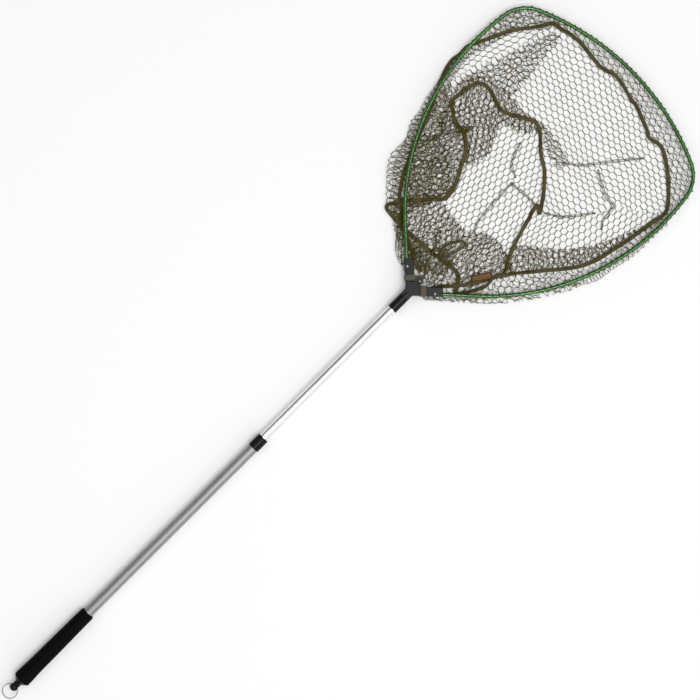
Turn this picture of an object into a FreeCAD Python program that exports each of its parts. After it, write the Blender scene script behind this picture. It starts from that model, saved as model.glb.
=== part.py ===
"""Telescopic landing net, lying flat on the surface it rests on.

Millimetres, +Z up. +Y runs along the handle towards the head, +X to the right of the handle.
The origin is in the middle of the footprint, on the surface. Lengths along the handle are
stations, measured from the grip's lower edge.
"""
import FreeCAD, Part
import math
import os

V = FreeCAD.Vector

# Handle
MIDDLE = 880.0                 # station of the origin
AXIS_Z = 18.8                  # height of the handle's axis and of the hoop
TUBE_R, TUBE_BORE_R = 11.1, 9.9
TUBE_TOP = 700.0
GRIP_TOP = 198.0
GRIP_PROFILE = [(3.0, 18.8), (10.0, 18.6), (34.0, 17.5), (70.0, 17.0), (134.0, 16.2), (195.0, 15.4)]
CAP_BEVEL_R, CAP_BEVEL = 18.0, 9.5
NECK_R = 7.6
KNOB_R, KNOB_AT = 9.2, -21.6
PLUG_END = 40.0
COLLAR_R, COLLAR_START, COLLAR_TOP = 12.75, 686.0, 717.0
GUIDE_R = 9.58                 # 0.08 mm round the sliding tube

# Split ring
RING_R, RING_RADIAL, RING_THICK = 16.5, 1.8, 2.4
RING_AT = -34.0
RING_HOLE_AT = RING_AT + RING_R - RING_RADIAL / 2
RING_HOLE_R, RING_HOLE_MOUTH_R = 1.9, 5.1

# Inner tube and twist lock
INNER_R, INNER_BORE_R = 9.5, 8.5
INNER_START, INNER_END = 600.0, 1138.0
STUD_R = 3.0
STUD_START, STUD_END = 540.0, 622.0
SLEEVE_R, SLEEVE_START, SLEEVE_END = 9.85, 556.0, 594.0
CONE_SMALL_R, CONE_LARGE_R = 5.6, 8.4
CONE_START, CONE_END = 549.0, 567.0

# Hub
APEX = 1146.0                  # station where the hoop's two ends would meet
STEM_R, STEM_START = 11.1, 1097.0
ARM_DEG = 42.3                 # each arm's direction, from the X axis
PLATE_THICK, BLOCK_THICK = 20.0, 15.0
ARM_OUTER, BLOCK_INNER, ROOT_INNER = -5.6, 14.2, 20.9
ROOT_END, BLOCK_END = 24.5, 72.0
SOCKET_START = 20.0
RIVET_AT, RIVET_R, RIVET_HEAD_R, RIVET_HEAD = 55.5, 2.0, 3.1, 1.6
EYE_AT, EYE_R, EYE_OUTER_R, EYE_THICK = 34.2, 3.0, 7.0, 6.0
STRAP_START, STRAP_END, STRAP_THICK, STRAP_GAP = 25.5, 37.0, 1.6, 0.2

# Hoop: a straight stretch, a side arc, a corner arc and half of the front arc on each side
HOOP_R, HOOP_BORE_R = 4.0, 2.8
HOOP_STRAIGHT = 144.0
HOOP_SIDE_R, HOOP_SIDE_DEG = 515.0, 56.2
HOOP_CORNER_R, HOOP_FRONT_R = 75.0, 555.0

# Net
HEM_R, HEM_BORE_R, HEM_START = 5.2, 4.35, 86.0
BAG_WALL, BAG_TOP = 2.5, 13.2
BAG_START, BAG_REAR = 100.0, 72.0
BAG_POINTS = 44
TAPE_WIDTH, TAPE_THICK = 8.0, 0.8
TAPE_Z = BAG_WALL + 0.1
LOOP_WIDTH = 4.0
LAYER = 0.9                    # height from one layer of tape to the next
LABEL_SIZE, LABEL_AT, LABEL_DEG = (46.0, 15.0), (85.6, 132.7), 45.0

# Seam routes over the bag's floor, from the apex: (right, forward)
UPPER_SEAM = [
    (84, 110), (117, 170), (163, 228), (217, 297), (239, 363), (254, 441), (262, 491),
    (250, 523), (222, 552), (187, 579), (157, 594), (111, 600), (46, 618), (-17, 630),
    (-118, 627), (-168, 616), (-201, 592), (-235, 546), (-253, 510), (-265, 483),
    (-269, 445), (-266, 408), (-257, 365), (-239, 304), (-199, 204), (-168, 146), (-88, 86),
]
LOWER_SEAM = [
    (-138, 104), (-109, 168), (-88, 196), (-93, 232), (-125, 298), (-161, 322), (-205, 338),
    (-221, 362), (-212, 405), (-187, 423), (-125, 411), (-86, 433), (-62, 441), (-14, 408),
    (22, 384), (52, 351), (76, 318), (71, 280), (98, 200), (104, 140), (76, 92), (35, 100),
    (0, 97), (-82, 92),
]
PULL_LOOP = [(-14, 115), (-13, 132), (-5, 147), (5, 157), (15, 154), (14, 141), (8, 126), (-1, 113)]


def y_at(station):
    """The row's Y for a station along the handle."""
    return station - MIDDLE


def turned(profile):
    """A solid turned about the handle's axis from (station, radius) points."""
    points = [V(0, y_at(s), AXIS_Z + r) for s, r in profile]
    face = Part.Face(Part.makePolygon(points + points[:1]))
    return face.revolve(V(0, 0, AXIS_Z), V(0, 1, 0), 360)


def rod(start, end, radius):
    """A cylinder along the handle's axis, between two stations."""
    return Part.makeCylinder(radius, end - start, V(0, y_at(start), AXIS_Z), V(0, 1, 0))


def tube(start, end, outer, inner):
    return rod(start, end, outer).cut(rod(start - 1, end + 1, inner))


def head_point(right, forward, z=AXIS_Z):
    """A point measured from the apex of the hoop's two ends."""
    return V(right, y_at(APEX) + forward, z)


def arm_point(along, inward, z=AXIS_Z):
    """A point in the right arm's own frame: along the hoop's end, and towards the middle."""
    a = math.radians(ARM_DEG)
    right = along * math.cos(a) - inward * math.sin(a)
    forward = along * math.sin(a) + inward * math.cos(a)
    return head_point(right, forward, z)


def mirrored(shape):
    return shape.mirror(V(0, 0, 0), V(1, 0, 0))


def slab(points, thick, z_middle=AXIS_Z):
    """A flat plate of the given outline, about a height."""
    flat = [V(p.x, p.y, z_middle - thick / 2) for p in points]
    return Part.Face(Part.makePolygon(flat + flat[:1])).extrude(V(0, 0, thick))


def make_grip():
    outer = Part.BSplineCurve()
    outer.interpolate([V(0, y_at(s), AXIS_Z + r) for s, r in GRIP_PROFILE])
    corners = [
        V(0, y_at(GRIP_TOP), AXIS_Z + GRIP_PROFILE[-1][1] - 2.5),
        V(0, y_at(GRIP_TOP), AXIS_Z + TUBE_R),
        V(0, y_at(0), AXIS_Z + TUBE_R),
        V(0, y_at(0), AXIS_Z + CAP_BEVEL_R),
    ]
    ends = [outer.value(outer.LastParameter)] + corners + [outer.value(outer.FirstParameter)]
    wire = Part.Wire([outer.toShape()] + Part.makePolygon(ends).Edges)
    return Part.Face(wire).revolve(V(0, 0, AXIS_Z), V(0, 1, 0), 360)


def make_grip_end_cap():
    """Plug, bevel, neck and round knob, with a cross hole that flares for the ring."""
    def at(station, radius):
        return V(0, y_at(station), AXIS_Z + radius)

    meet = math.acos(NECK_R / KNOB_R)
    knob = [at(KNOB_AT + KNOB_R * math.sin(a), KNOB_R * math.cos(a))
            for a in (meet, meet / 2 - math.pi / 4, -math.pi / 2)]
    outline = [knob[0], at(-CAP_BEVEL, NECK_R), at(0, CAP_BEVEL_R), at(0, TUBE_BORE_R),
               at(PLUG_END - 2, TUBE_BORE_R), at(PLUG_END, TUBE_BORE_R - 2), at(PLUG_END, 0),
               knob[2]]
    wire = Part.Wire(Part.makePolygon(outline).Edges + [Part.Arc(*reversed(knob)).toShape()])
    cap = Part.Face(wire).revolve(V(0, 0, AXIS_Z), V(0, 1, 0), 360)
    middle = V(0, y_at(RING_HOLE_AT), AXIS_Z)
    mouth = 10.0
    for side in (-1, 1):
        flare = Part.makeCone(RING_HOLE_R, RING_HOLE_MOUTH_R, mouth, middle, V(side, 0, 0))
        cap = cap.cut(flare)
    return cap


def make_split_ring():
    inner = RING_R - RING_RADIAL
    base = V(0, y_at(RING_AT), AXIS_Z - RING_THICK / 2)
    ring = Part.makeCylinder(RING_R, RING_THICK, base)
    return ring.cut(Part.makeCylinder(inner, RING_THICK, base))


def make_collar():
    """A skirt over the lower tube's end, and a lip that guides the inner tube."""
    edge = 1.0
    return turned([(COLLAR_START, TUBE_R), (COLLAR_START, COLLAR_R - edge),
                   (COLLAR_START + edge, COLLAR_R), (COLLAR_TOP - 2 * edge, COLLAR_R),
                   (COLLAR_TOP, COLLAR_R - 2 * edge), (COLLAR_TOP, GUIDE_R),
                   (TUBE_TOP, GUIDE_R), (TUBE_TOP, TUBE_R)])


def cone_radius(station, gap=0.0):
    """The cone nut's radius at a station, or the sleeve's bore with a gap."""
    share = (station - CONE_START) / (CONE_END - CONE_START)
    return CONE_LARGE_R + (CONE_SMALL_R - CONE_LARGE_R) * share + gap


def make_cone_nut():
    cone = turned([(CONE_START, 0), (CONE_START, cone_radius(CONE_START)),
                   (CONE_END, cone_radius(CONE_END)), (CONE_END, 0)])
    return cone.cut(rod(CONE_START - 1, CONE_END + 1, STUD_R + 0.05))


def make_expander_sleeve():
    """A sleeve with a tapered mouth for the cone, and three slots so that it can spread."""
    gap = 0.04
    taper_end = CONE_END + 1.0
    sleeve = turned([(SLEEVE_START, cone_radius(SLEEVE_START, gap)), (SLEEVE_START, SLEEVE_R),
                     (SLEEVE_END, SLEEVE_R), (SLEEVE_END, STUD_R + 0.3),
                     (taper_end, STUD_R + 0.3), (taper_end, cone_radius(taper_end, gap))])
    slot_end = SLEEVE_END - 10
    for k in range(3):
        slot = Part.makeBox(12, slot_end - SLEEVE_START + 1, 1.6,
                            V(STUD_R + 1, y_at(SLEEVE_START) - 1, AXIS_Z - 0.8))
        slot.rotate(V(0, 0, AXIS_Z), V(0, 1, 0), 120 * k)
        sleeve = sleeve.cut(slot)
    return sleeve


def make_tube_plug():
    flange = 3.0
    plug = turned([(INNER_START - flange, 0), (INNER_START - flange, INNER_R - 0.2),
                   (INNER_START, INNER_R - 0.2), (INNER_START, INNER_BORE_R),
                   (INNER_START + 26, INNER_BORE_R), (INNER_START + 26, 0)])
    return plug.cut(rod(INNER_START - flange - 1, STUD_END, STUD_R))


def make_lock_stud():
    return turned([(STUD_START, 0), (STUD_START, STUD_R - 0.6), (STUD_START + 0.6, STUD_R),
                   (STUD_END, STUD_R), (STUD_END, 0)])


def make_stop_nut():
    start, thick, across = STUD_START + 1.5, 5.0, 10.0
    corner = across / 2 / math.cos(math.pi / 6)
    outline = []
    for k in range(6):
        a = math.pi / 3 * k
        outline.append(V(corner * math.cos(a), y_at(start), AXIS_Z + corner * math.sin(a)))
    nut = Part.Face(Part.makePolygon(outline + outline[:1])).extrude(V(0, thick, 0))
    return nut.cut(rod(start - 1, start + thick + 1, STUD_R))


def hoop_arcs():
    """Points of the right half: end of the straight, side, corner and front arcs."""
    lead = math.radians(ARM_DEG)
    side_end = lead + math.radians(HOOP_SIDE_DEG)

    def on_circle(centre, radius, heading):
        return centre + V(math.sin(heading), -math.cos(heading), 0) * radius

    straight_end = arm_point(HOOP_STRAIGHT, 0)
    side_centre = arm_point(HOOP_STRAIGHT, HOOP_SIDE_R)
    side = [on_circle(side_centre, HOOP_SIDE_R, (lead + side_end) / 2),
            on_circle(side_centre, HOOP_SIDE_R, side_end)]
    corner_centre = on_circle(side_centre, HOOP_SIDE_R - HOOP_CORNER_R, side_end)
    reach = HOOP_FRONT_R - HOOP_CORNER_R
    front_centre = V(0, corner_centre.y - math.sqrt(reach ** 2 - corner_centre.x ** 2), AXIS_Z)
    corner_end = math.atan2(corner_centre.x, -(corner_centre.y - front_centre.y))
    corner = [on_circle(corner_centre, HOOP_CORNER_R, (side_end + corner_end) / 2),
              on_circle(corner_centre, HOOP_CORNER_R, corner_end)]
    front = front_centre + V(0, HOOP_FRONT_R, 0)
    return straight_end, side, corner, front


def hoop_path(start):
    """The hoop's centreline, from one end round the front to the other."""
    straight_end, side, corner, front = hoop_arcs()
    right = [Part.LineSegment(arm_point(start, 0), straight_end).toShape(),
             Part.Arc(straight_end, side[0], side[1]).toShape(),
             Part.Arc(side[1], corner[0], corner[1]).toShape()]
    left = [mirrored(edge) for edge in right]
    other = V(-corner[1].x, corner[1].y, corner[1].z)
    arc = Part.Arc(corner[1], front, other).toShape()
    return Part.Wire(Part.__sortEdges__(right + [arc] + left))


def swept(start, radius):
    path = hoop_path(start)
    a = math.radians(ARM_DEG)
    along = V(math.cos(a), math.sin(a), 0)
    circle = Part.Wire(Part.makeCircle(radius, arm_point(start, 0), along))
    return path.makePipeShell([circle], True, True)


def rivet_hole(radius):
    return Part.makeCylinder(radius, PLATE_THICK + 4,
                             arm_point(RIVET_AT, 0, AXIS_Z - PLATE_THICK / 2 - 2))


def make_hoop():
    hoop = swept(SOCKET_START, HOOP_R).cut(swept(SOCKET_START, HOOP_BORE_R))
    hole = rivet_hole(RIVET_R)
    return hoop.cut(hole).cut(mirrored(hole))


def make_rivet():
    """A shank and two low domes."""
    half = BLOCK_THICK / 2
    dome_r = (RIVET_HEAD_R ** 2 + RIVET_HEAD ** 2) / (2 * RIVET_HEAD)
    rivet = Part.makeCylinder(RIVET_R, BLOCK_THICK, arm_point(RIVET_AT, 0, AXIS_Z - half))
    for side in (-1, 1):
        centre = arm_point(RIVET_AT, 0, AXIS_Z + side * (half + RIVET_HEAD - dome_r))
        head = Part.makeCylinder(RIVET_HEAD_R, RIVET_HEAD,
                                 arm_point(RIVET_AT, 0, AXIS_Z + side * half), V(0, 0, side))
        rivet = rivet.fuse(head.common(Part.makeSphere(dome_r, centre)))
    return rivet.removeSplitter()


def make_hub():
    """Stem, flat Y plate, two blocks that hold the hoop's ends, and an eye in the crotch."""
    a = math.radians(ARM_DEG)
    crotch = head_point(0, ROOT_INNER / math.cos(a))
    plate = [head_point(STEM_R - 0.6, -14), head_point(STEM_R - 0.6, 1),
             arm_point(14, ARM_OUTER), arm_point(ROOT_END, ARM_OUTER),
             arm_point(ROOT_END, ROOT_INNER)]
    outline = plate + [crotch] + [V(-p.x, p.y, 0) for p in reversed(plate)]
    body = slab(outline, PLATE_THICK)
    body = body.makeFillet(2.0, [e for e in body.Edges if abs(e.BoundBox.ZLength) < 0.01])
    block = slab([arm_point(ROOT_END - 4, ARM_OUTER), arm_point(BLOCK_END, ARM_OUTER),
                  arm_point(BLOCK_END, BLOCK_INNER), arm_point(ROOT_END - 4, BLOCK_INNER)],
                 BLOCK_THICK)
    block = block.makeFillet(1.5, block.Edges)
    stem = turned([(STEM_START, 0), (STEM_START, STEM_R - 0.8), (STEM_START + 0.8, STEM_R),
                   (APEX - 3, STEM_R - 0.4), (APEX + 4, 6.0), (APEX + 4, 0)])
    eye_base = head_point(0, EYE_AT, AXIS_Z - EYE_THICK / 2)
    eye = Part.makeCylinder(EYE_OUTER_R, EYE_THICK, eye_base)
    hub = body.fuse([block, mirrored(block), stem, eye])
    socket = Part.makeCylinder(HOOP_R, BLOCK_END - SOCKET_START + 5, arm_point(SOCKET_START, 0),
                               V(math.cos(a), math.sin(a), 0))
    hole = rivet_hole(RIVET_R)
    cuts = [rod(STEM_START - 5, INNER_END, INNER_R), socket, mirrored(socket), hole,
            mirrored(hole), Part.makeCylinder(EYE_R, PLATE_THICK, eye_base - V(0, 0, 7))]
    for cut in cuts:
        hub = hub.cut(cut)
    return hub.removeSplitter()


def make_strap():
    """A webbing loop round the right arm."""
    def band(grow):
        outline = [arm_point(STRAP_START, ARM_OUTER - grow), arm_point(STRAP_END, ARM_OUTER - grow),
                   arm_point(STRAP_END, BLOCK_INNER + grow),
                   arm_point(STRAP_START, BLOCK_INNER + grow)]
        box = slab(outline, BLOCK_THICK + 2 * grow)
        a = math.radians(ARM_DEG)
        along = V(math.cos(a), math.sin(a), 0)
        corners = [e for e in box.Edges
                   if abs((e.Vertexes[1].Point - e.Vertexes[0].Point).normalize().dot(along)) > 0.9]
        return box.makeFillet(1.4 + grow, corners)
    return band(STRAP_GAP + STRAP_THICK).cut(band(STRAP_GAP))


def bag_bulge(x, forward):
    """How far the bag's floor lies outside the hoop: little at the front, most at rear left."""
    def ease(value):
        return 1 / (1 + math.exp(-value))
    rear_left = 26 * ease((285 - forward) / 25) * ease(-x / 20)
    return 3 + 8 * ease((520 - forward) / 40) + rear_left


def bag_outline(z, spread, inset):
    """A closed curve round the head at height z. spread is 1 at the floor and 0 at the hoop."""
    count = BAG_POINTS
    path = hoop_path(BAG_START).discretize(Number=count)
    points = []
    for k, p in enumerate(path):
        before, after = path[max(k - 1, 0)], path[min(k + 1, count - 1)]
        tangent = (after - before).normalize()
        outward = V(tangent.y, -tangent.x, 0)
        if outward.dot(p - head_point(0, 340)) < 0:
            outward = outward * -1
        bulge = 1 + (bag_bulge(p.x, p.y - y_at(APEX)) - 1) * spread
        points.append(V(p.x, p.y, z) + outward * (bulge - inset))
    for share in (0.6, 0, -0.6):
        points.append(head_point(path[-1].x * share, BAG_REAR + inset, z))
    curve = Part.BSplineCurve()
    curve.interpolate(points, PeriodicFlag=True)
    return Part.Wire(curve.toShape())


def make_net_bag():
    """An open tray: the floor panel, and walls that lean in to the hoop."""
    outer = Part.makeLoft([bag_outline(0, 1, 0), bag_outline(BAG_TOP, 0, 0)], True, True)
    inner = Part.makeLoft([bag_outline(BAG_WALL, 1, BAG_WALL),
                           bag_outline(BAG_TOP + 1, 0, BAG_WALL)], True, True)
    return outer.cut(inner)


def offset_side(route, distance, closed):
    """The route's points moved sideways, with mitred corners."""
    count = len(route)
    side = []
    for k, point in enumerate(route):
        before = route[k - 1] if closed or k else route[0]
        after = route[(k + 1) % count] if closed or k < count - 1 else route[-1]
        into = (point - before) if before != point else (after - point)
        out = (after - point) if after != point else into
        into.normalize()
        out.normalize()
        middle = (V(-into.y, into.x, 0) + V(-out.y, out.x, 0)).normalize()
        mitre = max(middle.dot(V(-out.y, out.x, 0)), 0.6)
        side.append(point + middle * (distance / mitre))
    return side


def ribbon(route, width, layer, closed):
    """A flat tape that follows a route over the bag's floor, on the given layer."""
    z = TAPE_Z + layer * LAYER
    points = [head_point(right, forward, z) for right, forward in route]
    left = offset_side(points, width / 2, closed)
    right = offset_side(points, -width / 2, closed)
    if not closed:
        return Part.Face(Part.makePolygon(left + right[::-1] + left[:1])).extrude(V(0, 0, TAPE_THICK))
    solids = [Part.Face(Part.makePolygon(side + side[:1])).extrude(V(0, 0, TAPE_THICK))
              for side in (left, right)]
    large, small = sorted(solids, key=lambda s: s.Volume, reverse=True)
    return large.cut(small)


def make_label():
    length, height = LABEL_SIZE
    z = TAPE_Z + 2 * LAYER
    label = Part.makeBox(length, height, TAPE_THICK, V(-length / 2, -height / 2, 0))
    label.rotate(V(0, 0, 0), V(0, 0, 1), LABEL_DEG)
    label.translate(head_point(LABEL_AT[0], LABEL_AT[1], z))
    return label


def make_nodes():
    rivet = make_rivet()
    strap = make_strap()
    return {
        "lower_tube": tube(0, TUBE_TOP, TUBE_R, TUBE_BORE_R),
        "grip": make_grip(),
        "grip_end_cap": make_grip_end_cap(),
        "collar": make_collar(),
        "split_ring": make_split_ring(),
        "expander_sleeve": make_expander_sleeve(),
        "cone_nut": make_cone_nut(),
        "lock_stud": make_lock_stud(),
        "tube_plug": make_tube_plug(),
        "stop_nut": make_stop_nut(),
        "upper_tube": tube(INNER_START, INNER_END, INNER_R, INNER_BORE_R),
        "hub": make_hub(),
        "rivet_right": rivet,
        "rivet_left": mirrored(rivet),
        "hoop": make_hoop(),
        "hem_sleeve": swept(HEM_START, HEM_R).cut(swept(HEM_START, HEM_BORE_R)),
        "net_bag": make_net_bag(),
        "upper_seam_tape": ribbon(UPPER_SEAM, TAPE_WIDTH, 0, False),
        "lower_seam_tape": ribbon(LOWER_SEAM, TAPE_WIDTH, 1, True),
        "pull_loop": ribbon(PULL_LOOP, LOOP_WIDTH, 2, True),
        "label": make_label(),
        "retaining_strap_right": strap,
        "retaining_strap_left": mirrored(strap),
    }


def main():
    os.makedirs("parts", exist_ok=True)
    nodes = make_nodes()
    low = V(1e9, 1e9, 1e9)
    high = V(-1e9, -1e9, -1e9)
    for name, shape in nodes.items():
        shape.exportStep(f"parts/{name}.step")
        for p in shape.tessellate(0.05)[0]:
            low = V(min(low.x, p.x), min(low.y, p.y), min(low.z, p.z))
            high = V(max(high.x, p.x), max(high.y, p.y), max(high.z, p.z))
        print(f"{name:24s} solids {len(shape.Solids)} valid {shape.isValid()}"
              f" volume {shape.Volume:.0f} mm3")
    print("box", low, high)
    print("hoop length", hoop_path(SOCKET_START).Length)
    print("ring hinge", y_at(RING_HOLE_AT), "eye", head_point(0, EYE_AT))


main()
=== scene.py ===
"""The landing net's looks: netting, seam tapes, straps, label, ring and every material.

Metres, in the row frame. Routes over the bag's floor are millimetres from the apex, the point
where the hoop's two ends would meet: (right, forward).
"""
import math
import bpy
import numpy as np
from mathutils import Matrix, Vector


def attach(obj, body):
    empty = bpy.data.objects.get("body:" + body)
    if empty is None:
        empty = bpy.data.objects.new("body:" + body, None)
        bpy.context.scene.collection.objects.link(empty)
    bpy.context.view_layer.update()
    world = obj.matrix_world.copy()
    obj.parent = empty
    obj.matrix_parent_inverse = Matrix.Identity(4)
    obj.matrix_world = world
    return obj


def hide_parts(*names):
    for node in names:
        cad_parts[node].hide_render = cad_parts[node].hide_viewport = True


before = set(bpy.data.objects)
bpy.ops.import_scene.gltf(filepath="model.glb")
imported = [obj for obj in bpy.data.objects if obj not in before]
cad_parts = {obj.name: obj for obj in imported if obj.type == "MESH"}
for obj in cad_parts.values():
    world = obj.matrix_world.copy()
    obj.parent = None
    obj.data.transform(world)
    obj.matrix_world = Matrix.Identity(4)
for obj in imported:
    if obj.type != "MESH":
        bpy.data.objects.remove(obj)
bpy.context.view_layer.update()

MM = 0.001
APEX_Y = 0.266                # the apex, on the handle's axis
AXIS_Z = 0.0188               # height of the hoop and of the handle's axis

# Hoop, as in the CAD model (mm)
ARM_DEG = 42.3
STRAP_AT = 31.0
STRAIGHT = 144.0
SIDE_R, SIDE_DEG = 515.0, 56.2
CORNER_R, FRONT_R = 75.0, 555.0

# Netting (mm)
CELL = 13.0                   # across a mesh, from one doubled leg to the next
LEG = 9.0                     # of a mesh pulled a little longer than a regular hexagon
PERIOD = 3 * LEG              # a strand repeats after a leg on either side and two slants
TWINE_R = 0.47
TWINE_SIDES = 5
STEPS = 8                     # points of a strand in one period
PAIR_GAP = 0.40               # half the distance between the two strands of a doubled leg
SLEEVE_R = 4.9
SLEEVE_FABRIC = 36.0
SLEEVE_CLEAR = 52.0           # the hoop's length in each arm of the hub, which has no sleeve
SLEEVE_DROP = 4.0             # the sleeve's inner seam, below the hoop's middle
BAND_FABRIC = 65.0
BAND_INSET = 6.0              # from the hoop's middle to the band's upper edge
BAND_SPARE = 40.0             # first guess of the band's spare fabric
WALL_FABRIC = 270.0
FLOOR_GAP = 0.8               # the lowest strand's middle, above the floor
ROW = 3.0                     # spacing of the worked-out surface along the fabric
WALL_RUFFLE, BAND_RUFFLE = 3.5, 2.0    # how far the fabric strays from its folds, in plan
HOOP_STEP = 2.0               # either side of a place on the hoop, to find its direction

# Seam between the hem band and the wall, anticlockwise from the right strap to the left one
UPPER_SEAM = [
    (21, 29), (38, 56), (79, 105), (117, 170), (163, 228), (194, 265), (217, 297), (231, 329),
    (239, 363), (248, 402), (254, 441), (258, 466), (263, 491), (258, 513), (222, 552),
    (187, 579), (157, 594), (129, 589), (111, 598), (62, 617), (46, 619), (6, 629), (-17, 631),
    (-45, 623), (-63, 623), (-92, 626), (-118, 628), (-147, 625), (-168, 619), (-186, 616),
    (-201, 592), (-235, 546), (-253, 510), (-265, 483), (-278, 455), (-278, 432), (-281, 408),
    (-268, 365), (-239, 304), (-199, 204), (-187, 175), (-168, 146), (-149, 124), (-88, 84),
    (-39, 59), (-12, 50),
]
# Seam between the wall and the bottom panel, anticlockwise from the hub's side
LOWER_SEAM = [
    (0, 98), (35, 103), (55, 93), (73, 72), (104, 121), (104, 151), (113, 172), (96, 206),
    (86, 231), (70, 286), (61, 322), (78, 313), (52, 351), (22, 384), (13, 390), (-14, 408),
    (-43, 435), (-64, 443), (-86, 433), (-121, 414), (-138, 411), (-168, 420), (-187, 424),
    (-205, 418), (-216, 396), (-220, 365), (-220, 347), (-205, 338), (-183, 322), (-161, 323),
    (-126, 298), (-113, 273), (-91, 230), (-86, 195), (-109, 170), (-147, 123), (-158, 94),
    (-82, 90), (-61, 93), (-33, 95),
]
PULL_LOOP = [(-14, 111), (-14, 126), (-6, 145), (1, 155), (13, 158), (12, 145), (9, 130),
             (1, 114), (-2, 102)]

# How the folded fabric lies, station by station: a point of each seam that lie on one mesh
# column, the shares of the band's spare fabric that hang out of and into the hoop, how far the
# wall first runs outside, where its two pleats sit from the upper seam and how wide they are,
# and how far it runs past the lower seam (mm; the widths are then matched to the fabric's
# length). The stations along the hoop's front and open side steer the hem sleeve and band only.
STATIONS = [
    # upper, lower, band out, band in, out, at, wide, at, wide, past
    (0, 0, 0.6, 0.4, 4, 50, 50, 80, 45, 6),
    (2, 3, 0.8, 0.2, 4, 50, 50, 70, 50, 30),
    (3, 4, 0.9, 0.1, 6, 36, 45, 50, 45, 20),
    (5, 6, 1.0, 0.0, 12, 20, 36, 26, 25, 2),
    (7, 8, 1.0, 0.0, 10, 18, 20, 24, 18, 0),
    (9, 9, 0.8, 0.2, 10, 16, 14, 40, 2, 2),
    (12, 11, 0.5, 0.5, 4, 14, 3, 40, 0, 1),
    (14, 12, 0.3, 0.7, 2, 14, 1, 150, 0, 1),
    (18, 15, 0.2, 0.8, 12, 14, 2, 190, 2, 6),
    (22, 17, 0.2, 0.8, 18, 14, 4, 165, 4, 10),
    (26, 20, 0.2, 0.8, 12, 14, 2, 180, 4, 6),
    (29, 22, 0.2, 0.8, 4, 14, 2, 150, 10, 10),
    (31, 23, 0.1, 0.9, 0, 60, 10, 90, 30, 20),
    (34, 25, 0.2, 0.8, 2, 40, 10, 60, 24, 34),
    (37, 27, 0.3, 0.7, 8, 24, 26, 50, 20, 44),
    (38, 28, 0.5, 0.5, 26, 34, 26, 50, 10, 34),
    (39, 29, 1.0, 0.0, 42, 60, 14, 80, 0, 16),
    (41, 32, 1.0, 0.0, 38, 50, 16, 70, 0, 20),
    (42, 34, 1.0, 0.0, 34, 30, 20, 50, 10, 36),
    (43, 36, 0.9, 0.1, 24, -46, 66, -20, 6, 8),
    (45, 37, 0.6, 0.4, 6, 20, 46, 50, 40, 8),
]
# Where the seams lie nearer than this, the wall's folds point at the bag's middle instead
SEAMS_APART = 120.0
BAG_MIDDLE = (-22, 267)
# The folded part of the wall, from one upper seam point round past the hub to another
WALL_FROM, WALL_TO = 37, 1

# Where the bag lies flat and single: the direction of the doubled legs (degrees) and outline
EVEN_LAYERS = {
    "bottom_panel": (98, LOWER_SEAM),
    "wall_open_side": (171, [
        (-180, 619), (-135, 631), (-63, 623), (-9, 638), (61, 619), (129, 589), (157, 596),
        (196, 576), (234, 540), (263, 497), (222, 466), (176, 435), (162, 396), (86, 320),
        (35, 371), (-17, 408), (-48, 442), (-73, 443), (-125, 412), (-180, 423), (-205, 418),
        (-222, 393), (-233, 363), (-253, 368), (-242, 426), (-204, 535)]),
    "wall_left_corner": (56, [
        (-266, 485), (-239, 541), (-207, 583), (-180, 619), (-204, 535), (-242, 426),
        (-253, 368), (-271, 368), (-279, 402), (-280, 449)]),
    "wall_right_strip": (101, [
        (86, 320), (162, 396), (176, 435), (222, 466), (263, 497), (254, 435), (231, 338),
        (199, 282), (162, 230), (114, 173), (89, 216), (80, 252), (65, 297), (59, 320)]),
}
EVEN_SWAY, EVEN_WAVE = 2.2, 120.0
EVEN_HEIGHT, FOLD_HEIGHT = 2.2, 3.0
# The hem band lies flat and double between these upper seam points, along the hoop's front
FRONT_FROM, FRONT_TO = 12, 29
FRONT_DIRECTIONS = (6, 152)
FRONT_RISE, FRONT_RISE_OVER = 10.0, 40.0

# Where the bag lies folded over itself: each fold's outline, how many further layers of
# netting it holds, and the direction of their doubled legs (degrees)
FOLDS = {
    "left_flank": (3, 70, [
        (-253, 374), (-236, 301), (-210, 238), (-177, 182), (-135, 132), (-83, 198),
        (-113, 273), (-135, 310), (-178, 329), (-220, 353)]),
    "left_flank_core": (2, 20, [
        (-220, 234), (-155, 151), (-94, 200), (-125, 255), (-183, 277)]),
    "arch": (3, 100, [
        (-226, 353), (-239, 387), (-219, 426), (-189, 443), (-143, 448), (-95, 442),
        (-57, 451), (-40, 441), (-66, 406), (-109, 390), (-98, 359), (-86, 320), (-95, 285),
        (-118, 277), (-135, 310), (-178, 329)]),
    "diagonal_band": (2, 40, [
        (-236, 396), (-229, 436), (-204, 509), (-187, 564), (-165, 610), (-150, 595),
        (-146, 540), (-138, 482), (-141, 446), (-186, 440)]),
    "beside_arch": (2, 10, [
        (-60, 448), (-21, 451), (19, 443), (43, 429), (40, 405), (6, 412), (-29, 429)]),
    "hub_side": (3, 55, [
        (-131, 133), (-86, 184), (-37, 179), (-3, 181), (27, 204), (68, 210), (125, 184),
        (104, 139), (64, 84), (22, 43), (-11, 54), (-88, 84)]),
    "lower_strip": (3, 130, [
        (84, 221), (166, 297), (211, 359), (242, 432), (263, 503), (274, 491), (248, 396),
        (225, 308), (168, 233), (127, 178)]),
    "lower_band": (1, 60, [
        (70, 84), (172, 228), (230, 304), (252, 392), (274, 485), (277, 458), (257, 346),
        (194, 206), (130, 124), (76, 72)]),
    "top_band": (2, 15, [
        (-266, 485), (-233, 544), (-183, 613), (-211, 617), (-250, 590), (-265, 567),
        (-268, 498)]),
    "under_hoop": (2, 15, [
        (33, 15), (66, 40), (101, 71), (139, 107), (171, 143), (203, 187), (224, 222),
        (244, 259), (234, 270), (195, 195), (163, 151), (129, 116), (57, 49), (25, 23)]),
}
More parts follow.
